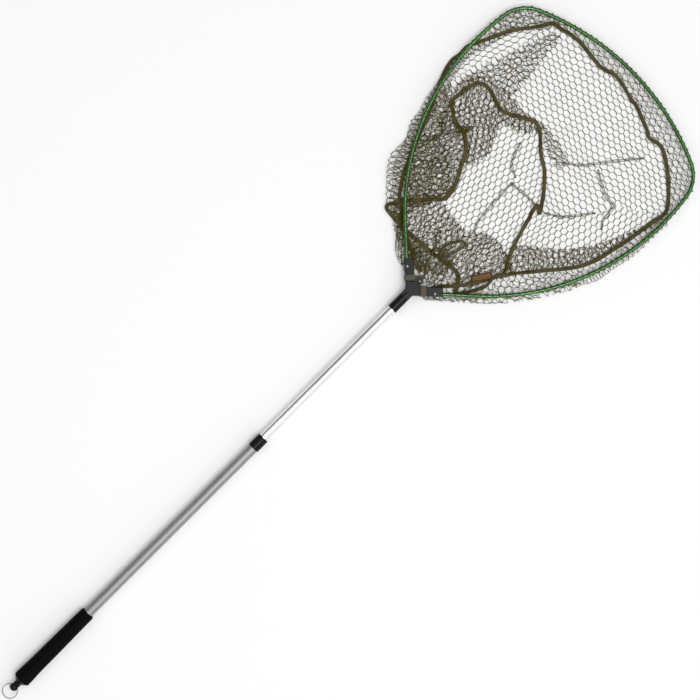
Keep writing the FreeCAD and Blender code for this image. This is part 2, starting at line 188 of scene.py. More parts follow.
# Creases: narrow pleats across the flat netting, as centrelines
CREASES = [
    [(-57, 391), (-39, 347), (-11, 331)],
    [(-9, 320), (-8, 274), (-2, 209), (7, 188)],
    [(-11, 316), (23, 320), (62, 320)],
    [(38, 424), (71, 451), (111, 503), (151, 552)],
    [(98, 466), (150, 438), (176, 435), (182, 399), (194, 381)],
    [(84, 322), (120, 346), (160, 398)],
]
CREASE_WIDE, CREASE_COLUMNS = 7.0, 5
CREASE_HEIGHT = 3.6
LAYER_UP = 1.6                # height between the layers of a fold
LAYER_TURN = 34               # degrees between the layers of a fold

# Seeds of the flat layers' random sway: the first one's, and the steps to the next
EVEN_SEED, EVEN_SEED_STEP = 100, 10
FRONT_SEED, FRONT_SEED_STEP = 160, 10
FOLD_SEED, FOLD_SEED_STEP, FOLD_LAYER_STEP = 200, 20, 5

# A narrow tape tied to the left retaining strap, and that strap's free end
TIE_TAPE = [(-2, 51), (-17, 75), (-28, 111), (-43, 126), (-45, 142)]
STRAP_TAIL = [(-19, 27), (-9, 36), (2, 49)]
LABEL_AT, LABEL_DEG = (85.6, 132.7), 55.0
LABEL_LONG, LABEL_TALL = 46.0, 15.0
LABEL_HEIGHT, LABEL_THICK = 8.6, 0.7

# Tapes: widths and thickness (m), heights above the floor (mm)
TAPE_W, TAPE_T = 0.0082, 0.0006
LOOP_W, TIE_W, TAIL_W = 0.0055, 0.004, 0.009
UPPER_TAPE_HEIGHT, LOWER_TAPE_HEIGHT, LOOP_HEIGHT = 6.0, 5.0, 9.0
TAPE_SPACING = 2.5            # between the points along a tape (mm)


# ---------------------------------------------------------------- lines and noise

def smooth_line(points, closed=False, per_span=16):
    """A Catmull-Rom line through the points, as a dense polyline."""
    p = np.asarray(points, float)
    if closed:
        p = np.vstack([p[-1:], p, p[:2]])
    else:
        p = np.vstack([2 * p[0] - p[1], p, 2 * p[-1] - p[-2]])
    t = np.linspace(0, 1, per_span, endpoint=False)[:, None]
    spans = []
    for a, b, c, d in zip(p, p[1:], p[2:], p[3:]):
        spans.append(0.5 * (2 * b + (c - a) * t + (2 * a - 5 * b + 4 * c - d) * t ** 2
                            + (3 * b - a - 3 * c + d) * t ** 3))
    return np.vstack(spans + [p[-2:-1]])


def lengths(line):
    """The length along a polyline at each of its points."""
    return np.r_[0, np.cumsum(np.linalg.norm(np.diff(line, axis=0), axis=1))]


def along(line, where):
    """Points of a polyline at the given lengths from its start."""
    s = lengths(line)
    return np.stack([np.interp(where, s, line[:, k]) for k in range(line.shape[1])], axis=-1)


def even(line, spacing):
    """The same polyline with points at an even spacing."""
    count = max(int(round(lengths(line)[-1] / spacing)), 2) + 1
    return along(line, np.linspace(0, lengths(line)[-1], count))


def ripple(shape, seed, waves_u, waves_v, count=14):
    """Smooth noise over a grid, about -1 to 1, closed along the first axis."""
    draw = np.random.default_rng(seed)
    u = np.linspace(0, 1, shape[0], endpoint=False)[:, None]
    v = np.linspace(0, 1, shape[1])[None, :]
    total = np.zeros(shape)
    for _ in range(count):
        m = draw.integers(waves_u[0], waves_u[1] + 1) * draw.choice((-1, 1))
        n = draw.uniform(*waves_v)
        total += np.sin(2 * math.pi * (m * u + n * v + draw.uniform()))
    return total / math.sqrt(count)


def blurred(grid, sigma, axis, closed=False):
    """Gaussian smoothing of a grid along one axis; the ends stay where they are."""
    reach = int(3 * sigma) + 1
    kernel = np.exp(-0.5 * (np.arange(-reach, reach + 1) / sigma) ** 2)
    kernel /= kernel.sum()
    work = np.moveaxis(grid, axis, 0)
    if closed:
        padded = np.concatenate([work[-reach:], work, work[:reach]])
    else:
        padded = np.concatenate([2 * work[:1] - work[reach:0:-1], work,
                                 2 * work[-1:] - work[-2:-reach - 2:-1]])
    out = np.zeros_like(work)
    for k, weight in enumerate(kernel):
        out += weight * padded[k:k + len(work)]
    return np.moveaxis(out, 0, axis)


def arm_point(u, inward):
    """A place beside the hub's right arm: along it from the apex, and inward from it."""
    a = math.radians(ARM_DEG)
    return np.array([u * math.cos(a) - inward * math.sin(a),
                     u * math.sin(a) + inward * math.cos(a)])


def hoop_line():
    """The hoop's centreline (mm from the apex), from the right strap round to the left one."""
    lead = math.radians(ARM_DEG)
    side_end = lead + math.radians(SIDE_DEG)

    def arc(centre, radius, start, end):
        h = np.linspace(start, end, 90)[:, None]
        return centre + radius * np.hstack([np.sin(h), -np.cos(h)])

    side_centre = arm_point(STRAIGHT, SIDE_R)
    corner_centre = arc(side_centre, SIDE_R - CORNER_R, side_end, side_end)[0]
    reach = math.sqrt((FRONT_R - CORNER_R) ** 2 - corner_centre[0] ** 2)
    front_centre = np.array([0.0, corner_centre[1] - reach])
    corner_end = math.atan2(corner_centre[0], -reach)
    right = np.vstack([arm_point(STRAP_AT, 0), arm_point(STRAIGHT, 0),
                       arc(side_centre, SIDE_R, lead, side_end)[1:],
                       arc(corner_centre, CORNER_R, side_end, corner_end)[1:],
                       arc(front_centre, FRONT_R, corner_end, math.pi)[1:]])
    return np.vstack([right, right[-2::-1] * (-1, 1)])


# ---------------------------------------------------------------- meshes

def mesh_object(name, points, faces, material, uvs=None):
    """One object on the head, from points and a list of face arrays, each of one corner count."""
    mesh = bpy.data.meshes.new(name)
    points = np.asarray(points, np.float32)
    mesh.vertices.add(len(points))
    mesh.vertices.foreach_set("co", points.ravel())
    corners = np.concatenate([f.ravel() for f in faces]).astype(np.int32)
    sizes = np.concatenate([np.full(len(f), f.shape[1]) for f in faces]).astype(np.int32)
    starts = np.r_[0, np.cumsum(sizes)[:-1]].astype(np.int32)
    mesh.loops.add(len(corners))
    mesh.loops.foreach_set("vertex_index", corners)
    mesh.polygons.add(len(sizes))
    mesh.polygons.foreach_set("loop_start", starts)
    mesh.polygons.foreach_set("use_smooth", np.full(len(sizes), True))
    if uvs is not None:
        layer = mesh.uv_layers.new(name="UVMap")
        layer.uv.foreach_set("vector", np.asarray(uvs, np.float32)[corners].ravel())
    mesh.update(calc_edges=True)
    mesh.validate()
    mesh.materials.append(material)
    piece = bpy.data.objects.new(name, mesh)
    bpy.context.scene.collection.objects.link(piece)
    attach(piece, "head")
    return piece


def unit(v):
    """Vectors brought to length 1."""
    return v / np.maximum(np.linalg.norm(v, axis=-1, keepdims=True), 1e-12)


def strand_tubes(paths):
    """Strands of twine along many paths at once: paths is (strands, points, 3)."""
    strands, count, _ = paths.shape
    tangent = unit(np.gradient(paths, axis=1))
    side = unit(np.cross(tangent, (0.0, 0.0, 1.0)))
    up = np.cross(side, tangent)
    angle = 2 * math.pi * np.arange(TWINE_SIDES) / TWINE_SIDES
    ring = (side[:, :, None] * np.cos(angle)[:, None] + up[:, :, None] * np.sin(angle)[:, None])
    points = paths[:, :, None] + TWINE_R * MM * ring
    index = np.arange(points.size // 3).reshape(strands, count, TWINE_SIDES)
    a, b = index[:, :-1], index[:, 1:]
    quads = np.stack([a, np.roll(a, -1, 2), np.roll(b, -1, 2), b], axis=-1).reshape(-1, 4)
    caps = np.concatenate([index[:, 0, ::-1], index[:, -1]])
    return points.reshape(-1, 3), [quads, caps]


def zigzag(column, t):
    """A strand's place across the fabric at length t, in columns, from its own leg column.

    A leg takes a third of a period and the slant to the next column a sixth.
    """
    start = (column % 2) * 0.5 * PERIOD
    phase = np.mod(t - start, PERIOD) / PERIOD
    edge = PAIR_GAP / (CELL / 2)
    slope = (phase - 1 / 3) * 6
    rising = np.clip(slope, 0, 1)
    falling = np.clip((phase - 5 / 6) * 6, 0, 1)
    away = rising * rising * (3 - 2 * rising) - falling * falling * (3 - 2 * falling)
    return edge + (1 - 2 * edge) * away


def bilinear(grid, u, v):
    """Values of a grid at fractional places."""
    count, rows = grid.shape[:2]
    u = np.clip(u, 0, count - 1)
    v = np.clip(v, 0, rows - 1)
    u0 = np.minimum(np.floor(u).astype(int), count - 2)
    v0 = np.minimum(np.floor(v).astype(int), rows - 2)
    fu, fv = (u - u0)[..., None], (v - v0)[..., None]
    return ((grid[u0, v0] * (1 - fu) + grid[u0 + 1, v0] * fu) * (1 - fv)
            + (grid[u0, v0 + 1] * (1 - fu) + grid[u0 + 1, v0 + 1] * fu) * fv)


def netting(name, grid, fabric, material, first=0):
    """Knotless netting over a worked-out surface: grid is (columns, rows, 3), in metres."""
    columns, rows = grid.shape[:2]
    steps = int(round(fabric / PERIOD * STEPS)) + 1
    t = np.linspace(0, fabric, steps)
    places = np.stack([m + zigzag(m + first, t) for m in range(columns - 1)])
    paths = bilinear(grid, places, np.broadcast_to(t / fabric * (rows - 1), places.shape))
    points, faces = strand_tubes(paths)
    return mesh_object(name, points, faces, material)


# ---------------------------------------------------------------- how the fabric lies

def station_values():
    """The station table, spread over every mesh column."""
    table = np.array(STATIONS, float)
    at_upper = upper_s[table[:, 0].astype(int)]
    at_lower = lower_s[table[:, 1].astype(int)]
    key = np.r_[at_upper, upper_total]
    lower = np.interp(column_at, key, np.r_[at_lower, lower_total])
    rest = [np.interp(column_at, key, np.r_[values, values[:1]]) for values in table.T[2:]]
    return lower, rest


def point_lengths(points, per_span=16):
    """A closed smooth line, the length along it at which each point lies, and its own length."""
    line = smooth_line(points, True, per_span)
    s = lengths(line)
    return line, s[:len(points) * per_span:per_span], s[-1]


def stretched_to(vertices_of, fabric, high=3.0):
    """The fold factor, per column, at which the folded line has the fabric's length."""
    low = np.zeros(vertices_of(0.0).shape[0])
    top = np.full_like(low, high)
    for _ in range(30):
        mid = (low + top) / 2
        v = vertices_of(mid[:, None])
        long_enough = np.linalg.norm(np.diff(v, axis=1), axis=2).sum(axis=1) > fabric
        top = np.where(long_enough, mid, top)
        low = np.where(long_enough, low, mid)
    return vertices_of(((low + top) / 2)[:, None])


def resampled(vertices, rows):
    """Each column's folded line, as evenly spaced points."""
    return np.stack([along(v, np.linspace(0, lengths(v)[-1], rows)) for v in vertices])


upper_line, upper_s, upper_total = point_lengths(UPPER_SEAM)
lower_line, lower_s, lower_total = point_lengths(LOWER_SEAM)
COLUMNS = 2 * int(round(upper_total / CELL))
column_at = np.arange(COLUMNS) / COLUMNS * upper_total
hoop = hoop_line()
hoop_s = lengths(hoop)


def nearest_on_hoop(points):
    """Lengths along the hoop nearest to the points, in order and smoothed."""
    dense = np.linspace(0, hoop_s[-1], 2400)
    gap = np.linalg.norm(points[:, None] - along(hoop, dense)[None], axis=2)
    return np.maximum.accumulate(dense[gap.argmin(axis=1)])


def lay_wall():
    """Plan and height of the wall, from the upper seam to the lower one."""
    lower, (_, _, out, at1, wide1, at2, wide2, past) = station_values()
    a = along(upper_line, column_at)
    b = along(lower_line, lower)
    gap = np.linalg.norm(b - a, axis=1, keepdims=True)
    near = np.clip(1 - gap / SEAMS_APART, 0, 1)
    middle = np.array(BAG_MIDDLE, float)
    straight = unit(blurred(unit(b - a) * (1 - near) + unit(middle - a) * near, 4, 0, True))
    hoop_at = nearest_on_hoop(a)
    ahead = along(hoop, hoop_at + HOOP_STEP)
    tangent = unit(ahead - along(hoop, np.maximum(hoop_at - HOOP_STEP, 0)))
    inward = blurred(np.stack([-tangent[:, 1], tangent[:, 0]], axis=1), 3, 0, True)
    uneven = ripple((COLUMNS, 4), 11, (8, 30), (0, 0.2))
    at1 = at1 + 7 * uneven[:, 0]
    at2 = at2 + 10 * uneven[:, 1]
    wide1 = wide1 * (1 + 0.3 * uneven[:, 2])
    wide2 = wide2 * (1 + 0.3 * uneven[:, 3])
    out = out * (1 + 0.12 * uneven[:, 3])

    def vertices(factor):
        factor = np.broadcast_to(factor, (COLUMNS, 1))
        half1 = factor * wide1[:, None] / 2
        half2 = factor * wide2[:, None] / 2
        run = factor * past[:, None]
        return np.stack([
            a,
            a - inward * out[:, None],
            a + straight * (at1[:, None] + half1),
            a + straight * (at1[:, None] - half1),
            a + straight * (at2[:, None] + half2),
            a + straight * (at2[:, None] - half2),
            b + straight * run,
            b,
        ], axis=1)

    rows = int(round(WALL_FABRIC / ROW)) + 1
    folded = stretched_to(vertices, WALL_FABRIC)
    plan = resampled(folded, rows)
    plan = blurred(blurred(plan, 1.8, 1), 2.2, 0, True)
    fade = np.sin(np.linspace(0, math.pi, rows)) ** 0.5
    plan[..., 0] += WALL_RUFFLE * fade * ripple(plan.shape[:2], 21, (6, 26), (0.5, 4))
    plan[..., 1] += WALL_RUFFLE * fade * ripple(plan.shape[:2], 22, (6, 26), (0.5, 4))
    share = np.linspace(0, 1, rows)
    height = 5.0 - 3.0 * share + 3.0 * fade * (1 + ripple(plan.shape[:2], 23, (8, 40), (0.5, 6)))
    return np.dstack([plan, np.maximum(height, FLOOR_GAP)]), hoop_at


def lay_band(hoop_at):
    """Plan and height of the hem band, from the hoop to the upper seam."""
    _, (band_out, band_in, *_) = station_values()
    keep = column_at <= upper_s[-1]
    where, at = column_at[keep], hoop_at[keep]
    at = np.linspace(0, hoop_s[-1], len(at)) * 0.35 + at * 0.65
    at = np.clip(blurred(at, 4, 0), 0, hoop_s[-1])
    b = along(upper_line, where)
    centre = along(hoop, at)
    ahead = along(hoop, np.minimum(at + HOOP_STEP, hoop_s[-1]))
    tangent = unit(ahead - along(hoop, np.maximum(at - HOOP_STEP, 0)))
    inward = np.stack([-tangent[:, 1], tangent[:, 0]], axis=1)
    a = centre + inward * BAND_INSET
    out, into = band_out[keep][:, None], band_in[keep][:, None]

    def vertices(factor):
        spare = np.broadcast_to(BAND_SPARE * factor, (len(at), 1))
        under = a - inward * np.where(spare * out > 0.5, BAND_INSET + spare * out, 0.5)
        return np.stack([a, under, b + inward * spare * into, b], axis=1)

    rows = int(round(BAND_FABRIC / ROW)) + 1
    plan = resampled(stretched_to(vertices, BAND_FABRIC), rows)
    plan = blurred(blurred(plan, 1.4, 1), 1.5, 0)
    fade = np.sin(np.linspace(0, math.pi, rows)) ** 0.5
    plan[..., 0] += BAND_RUFFLE * fade * ripple(plan.shape[:2], 31, (6, 30), (0.5, 2))
    plan[..., 1] += BAND_RUFFLE * fade * ripple(plan.shape[:2], 32, (6, 30), (0.5, 2))
    share = np.linspace(0, 1, rows)
    start = AXIS_Z / MM - SLEEVE_DROP
    height = 5.0 + (start - 5.0) * (1 - share) ** 2
    height = height + 2.0 * fade * ripple(plan.shape[:2], 33, (8, 40), (0.5, 2))
    return np.dstack([plan, np.maximum(height, FLOOR_GAP)]), at, inward


def lay_sleeve(at, inward):
    """The sleeve: from the inner seam over the hoop, down its outside and back under it."""
    rows = int(round(SLEEVE_FABRIC / ROW)) + 1
    turn = np.linspace(0, 2 * math.pi, rows)
    centre = along(hoop, at)
    slack = 0.6 + 1.2 * ripple((len(at), rows), 41, (10, 60), (0.2, 1.0))
    radius = SLEEVE_R + np.clip(slack, 0, 3) * np.sin(turn / 2)
    across = np.cos(turn) * radius
    up = np.sin(turn) * np.minimum(radius, SLEEVE_R + 0.6)
    plan = centre[:, None] + inward[:, None] * across[..., None]
    height = AXIS_Z / MM + up
    start = AXIS_Z / MM - SLEEVE_DROP
    ease = np.abs(np.linspace(-1, 1, rows)) ** 6
    height = height * (1 - ease) + start * ease
    return np.dstack([plan, height])


def to_row(grid):
    """Millimetres from the apex to row metres, for a whole surface."""
    return grid * MM + (0.0, APEX_Y, 0.0)


def swell(points, seed, wavelength, count=8):
    """Smooth noise over places in the plane, about -1 to 1."""
    draw = np.random.default_rng(seed)
    total = np.zeros(points.shape[:-1])
    for _ in range(count):
        heading = draw.uniform(0, 2 * math.pi)
        scale = 2 * math.pi / (wavelength * draw.uniform(0.7, 1.6))
        along_wave = points[..., 0] * math.cos(heading) + points[..., 1] * math.sin(heading)
        total += np.sin(along_wave * scale + draw.uniform(0, 2 * math.pi))
    return total / math.sqrt(count)


def inside(points, outline):
    """Whether each point lies within a closed outline."""
    x, y = points[..., 0], points[..., 1]
    within = np.zeros(x.shape, bool)
    for (x0, y0), (x1, y1) in zip(outline, np.roll(outline, -1, axis=0)):
        if y0 == y1:
            continue
        crosses = (y0 > y) != (y1 > y)
        within ^= crosses & (x < (x1 - x0) * (y - y0) / (y1 - y0) + x0)
    return within


def to_edge(point, outline):
    """The nearest place on a dense outline."""
    return outline[np.linalg.norm(outline - point, axis=1).argmin()]


def flat_layer(outline, direction, height, seed, sway=4.5, wave=70.0, lift=None):
    """Strands of one layer of netting within an outline; they end on the outline."""
    middle = outline.mean(axis=0)
    reach = np.linalg.norm(outline - middle, axis=1).max() + CELL
    spacing = CELL / 2
    t = np.arange(-reach, reach, PERIOD / STEPS)
    strands = np.arange(-int(reach / spacing) - 1, int(reach / spacing) + 1)
    across = np.stack([(m + zigzag(m, t + 60 * PERIOD)) * spacing for m in strands])
    a = math.radians(direction)
    flat = np.stack([middle[0] + t * math.cos(a) - across * math.sin(a),
                     middle[1] + t * math.sin(a) + across * math.cos(a)], axis=-1)
    flat = flat + sway * np.stack([swell(flat, seed, wave), swell(flat, seed + 1, wave)], axis=-1)
    z = np.maximum(height + 1.1 * swell(flat, seed + 2, 45), FLOOR_GAP)
    if lift is not None:
        z = z + lift(flat)
    within = inside(flat, outline)
    runs = []
    for path, level, kept in zip(flat, z, within):
        change = np.flatnonzero(np.diff(np.r_[False, kept, False].astype(int)))
        for start, stop in zip(change[::2], change[1::2]):
            if stop - start < 3:
                continue
            run = np.column_stack([path[start:stop], level[start:stop]])
            run[0, :2] = to_edge(run[0, :2], outline)
            run[-1, :2] = to_edge(run[-1, :2], outline)
            runs.append(to_row(run))
    return runs


def front_band():
    """The outline of the hem band's flat front, and how it rises towards the hoop."""
    seam = np.array(UPPER_SEAM[FRONT_FROM:FRONT_TO + 1], float)
    start, end = nearest_on_hoop(seam[[0, -1]])
    under_hoop = along(hoop, np.linspace(start, end, 60))

    def rise(flat):
        gap = np.linalg.norm(flat[..., None, :] - under_hoop, axis=-1).min(axis=-1)
        return FRONT_RISE * np.clip(1 - gap / FRONT_RISE_OVER, 0, 1) ** 2

    return np.vstack([seam, under_hoop[::-1]]), rise


def runs_object(name, runs, material):
    """One object from strands of differing lengths."""
    all_points, all_quads, all_caps = [], [], []
    base = 0
    for run in runs:
        points, (quads, caps) = strand_tubes(run[None])
        all_points.append(points)
        all_quads.append(quads + base)
        all_caps.append(caps + base)
        base += len(points)
    return mesh_object(name, np.vstack(all_points), [np.vstack(all_quads), np.vstack(all_caps)],
                       material)


def crease_surface(route):
    """A pleat's strip of netting, pinched together: a grid of (columns, rows, 3)."""
    line = even(smooth_line(route), ROW)
    tangent = unit(np.gradient(line, axis=0))
    side = np.stack([-tangent[:, 1], tangent[:, 0]], axis=1)
    taper = np.sqrt(np.sin(np.linspace(0.15, math.pi - 0.15, len(line))))
    offset = np.linspace(-0.5, 0.5, CREASE_COLUMNS)[:, None] * taper * CREASE_WIDE
    plan = line[None] + side[None] * offset[..., None]
    height = CREASE_HEIGHT + 0.8 * ripple(offset.shape, 601, (1, 3), (1, 4))
    return np.dstack([plan, height])


# ---------------------------------------------------------------- materials

def material_nodes(name):
    material = bpy.data.materials.new(name)
    material.use_nodes = True
    return material, material.node_tree.nodes, material.node_tree.links


def finish_material(name, dark, light, rough=(0.4, 0.6), metallic=0.0, noise=80.0,
                    stretch=(1, 1, 1), grain=900.0, bump=0.0002, bump_strength=0.3,
                    coat=0.0, coat_rough=0.1, sheen=0.0, specular=0.5):
    """A surface whose colour, roughness and fine relief vary over the object."""
    material, nodes, links = material_nodes(name)
    shader = nodes["Principled BSDF"]
    shader.inputs["Metallic"].default_value = metallic
    shader.inputs["Coat Weight"].default_value = coat
    shader.inputs["Coat Roughness"].default_value = coat_rough
    shader.inputs["Sheen Weight"].default_value = sheen
    shader.inputs["Specular IOR Level"].default_value = specular
    place = nodes.new("ShaderNodeTexCoord")
    mapping = nodes.new("ShaderNodeMapping")
    mapping.inputs["Scale"].default_value = stretch
    links.new(place.outputs["Object"], mapping.inputs["Vector"])
    broad = nodes.new("ShaderNodeTexNoise")
    broad.inputs["Scale"].default_value = noise
    broad.inputs["Detail"].default_value = 5.0
    links.new(mapping.outputs["Vector"], broad.inputs["Vector"])
    ramp = nodes.new("ShaderNodeValToRGB")
    ramp.color_ramp.elements[0].position = 0.35
    ramp.color_ramp.elements[0].color = (*dark, 1)
    ramp.color_ramp.elements[1].position = 0.65
    ramp.color_ramp.elements[1].color = (*light, 1)
    links.new(broad.outputs["Fac"], ramp.inputs["Fac"])
    links.new(ramp.outputs["Color"], shader.inputs["Base Color"])
    gloss = nodes.new("ShaderNodeMapRange")
    gloss.inputs["From Min"].default_value = 0.3
    gloss.inputs["From Max"].default_value = 0.7
    gloss.inputs["To Min"].default_value = rough[0]
    gloss.inputs["To Max"].default_value = rough[1]
    links.new(broad.outputs["Fac"], gloss.inputs["Value"])
    links.new(gloss.outputs["Result"], shader.inputs["Roughness"])
    fine = nodes.new("ShaderNodeTexNoise")
    fine.inputs["Scale"].default_value = grain
    fine.inputs["Detail"].default_value = 3.0
    links.new(mapping.outputs["Vector"], fine.inputs["Vector"])
    relief = nodes.new("ShaderNodeBump")
    relief.inputs["Strength"].default_value = bump_strength
    relief.inputs["Distance"].default_value = bump
    links.new(fine.outputs["Fac"], relief.inputs["Height"])
    links.new(relief.outputs["Normal"], shader.inputs["Normal"])
    return material


def woven_material(name, dark, light, threads=1100.0):
    """Webbing: crossed threads along the piece's own length and width, in metres."""
    material, nodes, links = material_nodes(name)
    shader = nodes["Principled BSDF"]
    shader.inputs["Roughness"].default_value = 0.85
    shader.inputs["Specular IOR Level"].default_value = 0.12
    place = nodes.new("ShaderNodeTexCoord")
    waves = []
    for direction in ("X", "Y"):
        wave = nodes.new("ShaderNodeTexWave")
        wave.bands_direction = direction
        wave.inputs["Scale"].default_value = threads / (2 * math.pi)
        wave.inputs["Distortion"].default_value = 0.6
        wave.inputs["Detail"].default_value = 1.0
        links.new(place.outputs["UV"], wave.inputs["Vector"])
        waves.append(wave)
    weave = nodes.new("ShaderNodeMath")
    weave.operation = "MULTIPLY"
    links.new(waves[0].outputs["Fac"], weave.inputs[0])
    links.new(waves[1].outputs["Fac"], weave.inputs[1])
    cloud = nodes.new("ShaderNodeTexNoise")
    cloud.inputs["Scale"].default_value = 60.0
    cloud.inputs["Detail"].default_value = 4.0
    links.new(place.outputs["Object"], cloud.inputs["Vector"])
    both = nodes.new("ShaderNodeMath")
    both.operation = "ADD"
    links.new(weave.outputs["Value"], both.inputs[0])
    links.new(cloud.outputs["Fac"], both.inputs[1])
    ramp = nodes.new("ShaderNodeValToRGB")
    ramp.color_ramp.elements[0].position = 0.4
    ramp.color_ramp.elements[0].color = (*dark, 1)
    ramp.color_ramp.elements[1].position = 0.8125
    ramp.color_ramp.elements[1].color = (*light, 1)
    links.new(both.outputs["Value"], ramp.inputs["Fac"])
    links.new(ramp.outputs["Color"], shader.inputs["Base Color"])
    relief = nodes.new("ShaderNodeBump")
    relief.inputs["Strength"].default_value = 0.6
    relief.inputs["Distance"].default_value = 0.0003
    links.new(weave.outputs["Value"], relief.inputs["Height"])
    links.new(relief.outputs["Normal"], shader.inputs["Normal"])
    return material


def label_material():
    """Rust cloth with a dark border and two dark woven bars."""
    material, nodes, links = material_nodes("label")
    shader = nodes["Principled BSDF"]
    shader.inputs["Roughness"].default_value = 0.8
    place = nodes.new("ShaderNodeTexCoord")
    split = nodes.new("ShaderNodeSeparateXYZ")
    links.new(place.outputs["UV"], split.inputs["Vector"])

    def ramp_of(source, stops):
        ramp = nodes.new("ShaderNodeValToRGB")
        ramp.color_ramp.interpolation = "CONSTANT"
        elements = ramp.color_ramp.elements
        for k, (position, value) in enumerate(stops):
            stop = elements[k] if k < 2 else elements.new(position)
            stop.position = position
            stop.color = (value, value, value, 1)
        links.new(source, ramp.inputs["Fac"])
        return ramp.outputs["Color"]

    across = ramp_of(split.outputs["Y"], [(0, 0), (0.2, 1), (0.36, 0.4), (0.44, 1), (0.56, 0.4),
                                          (0.64, 1), (0.8, 0)])
    along_it = ramp_of(split.outputs["X"], [(0, 0), (0.08, 1), (0.92, 0)])
    both = nodes.new("ShaderNodeMath")
    both.operation = "MULTIPLY"
    links.new(across, both.inputs[0])
    links.new(along_it, both.inputs[1])
    thread = nodes.new("ShaderNodeTexNoise")
    thread.inputs["Scale"].default_value = 1500.0
    links.new(place.outputs["Object"], thread.inputs["Vector"])
    worn = nodes.new("ShaderNodeMath")
    worn.operation = "MULTIPLY_ADD"
    worn.inputs[1].default_value = 0.75
    links.new(both.outputs["Value"], worn.inputs[0])
    speck = nodes.new("ShaderNodeMath")
    speck.operation = "MULTIPLY"
    speck.inputs[1].default_value = 0.3
    links.new(thread.outputs["Fac"], speck.inputs[0])
    links.new(speck.outputs["Value"], worn.inputs[2])
    colour = nodes.new("ShaderNodeValToRGB")
    colour.color_ramp.elements[0].position = 0.12
    colour.color_ramp.elements[0].color = (0.028, 0.016, 0.010, 1)
    colour.color_ramp.elements[1].position = 0.95
    colour.color_ramp.elements[1].color = (0.21, 0.080, 0.015, 1)
    links.new(worn.outputs["Value"], colour.inputs["Fac"])
    links.new(colour.outputs["Color"], shader.inputs["Base Color"])
    relief = nodes.new("ShaderNodeBump")
    relief.inputs["Strength"].default_value = 0.5
    relief.inputs["Distance"].default_value = 0.0002
    links.new(thread.outputs["Fac"], relief.inputs["Height"])
    links.new(relief.outputs["Normal"], shader.inputs["Normal"])
    return material


twine = finish_material("netting", (0.044, 0.036, 0.004), (0.108, 0.087, 0.012), (0.7, 0.9),
                        noise=70, grain=2600, bump=0.0002, bump_strength=0.6, specular=0.03)
tape_cloth = woven_material("tape", (0.040, 0.032, 0.012), (0.105, 0.088, 0.040))
strap_cloth = woven_material("strap", (0.045, 0.038, 0.022), (0.13, 0.115, 0.075))
CAD_FINISHES = {
    "satin_aluminium": (["lower_tube"], finish_material(
        "satin_aluminium", (0.30, 0.305, 0.31), (0.38, 0.38, 0.39), (0.48, 0.60), 1.0,
        noise=38, stretch=(9, 1.2, 9), grain=500, bump=0.00004, bump_strength=0.4)),
    "polished_aluminium": (["upper_tube"], finish_material(
        "polished_aluminium", (0.83, 0.84, 0.86), (0.92, 0.93, 0.94), (0.12, 0.2), 1.0,
        noise=30, stretch=(8, 0.8, 8), grain=400, bump=0.00002, bump_strength=0.3)),
    "grip_rubber": (["grip"], finish_material(
        "grip_rubber", (0.0012, 0.0012, 0.0015), (0.004, 0.004, 0.0045), (0.6, 0.8),
        noise=260, grain=1500, bump=0.0003, bump_strength=0.5, specular=0.05)),
    "black_plastic": (["grip_end_cap", "collar", "tube_plug"], finish_material(
        "black_plastic", (0.003, 0.003, 0.0035), (0.008, 0.008, 0.009), (0.2, 0.32),
        noise=120, grain=900, bump=0.00006, bump_strength=0.4, specular=0.12)),
    "hub_plastic": (["hub"], finish_material(
        "hub_plastic", (0.003, 0.003, 0.0035), (0.008, 0.007, 0.008), (0.20, 0.32),
        noise=160, grain=1400, bump=0.0001, bump_strength=0.5, specular=0.17)),
    "hoop_green": (["hoop"], finish_material(
        "hoop_green", (0.007, 0.085, 0.006), (0.017, 0.150, 0.013), (0.18, 0.28), 0.9,
        noise=30, grain=700, bump=0.00003, bump_strength=0.3, coat=1.0, coat_rough=0.14)),
    "nickel": (["split_ring"], finish_material(
        "nickel", (0.16, 0.155, 0.145), (0.40, 0.39, 0.37), (0.14, 0.26), 1.0,
        noise=200, grain=1200, bump=0.00004, bump_strength=0.4)),
    "rivet_steel": (["rivet_left", "rivet_right"], finish_material(
        "rivet_steel", (0.30, 0.30, 0.31), (0.55, 0.55, 0.56), (0.25, 0.4), 1.0,
        noise=300, grain=1200, bump=0.00004, bump_strength=0.4)),
    "lock_nylon": (["expander_sleeve"], finish_material(
        "lock_nylon", (0.55, 0.53, 0.48), (0.70, 0.68, 0.62), (0.4, 0.5),
        noise=100, grain=900, bump=0.0001, bump_strength=0.3)),
    "lock_steel": (["cone_nut", "lock_stud", "stop_nut"], finish_material(
        "lock_steel", (0.38, 0.37, 0.34), (0.60, 0.58, 0.54), (0.25, 0.4), 1.0,
        noise=200, grain=900, bump=0.00005, bump_strength=0.3)),
    "strap_web": (["retaining_strap_left", "retaining_strap_right"], finish_material(
        "strap_web", (0.045, 0.038, 0.022), (0.13, 0.115, 0.075), (0.8, 0.9),
        noise=500, grain=1800, bump=0.0004, bump_strength=0.8, sheen=0.1)),
}
for names, material in CAD_FINISHES.values():
    for node in names:
        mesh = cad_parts[node].data
        mesh.materials.clear()
        mesh.materials.append(material)


# ---------------------------------------------------------------- tapes, label

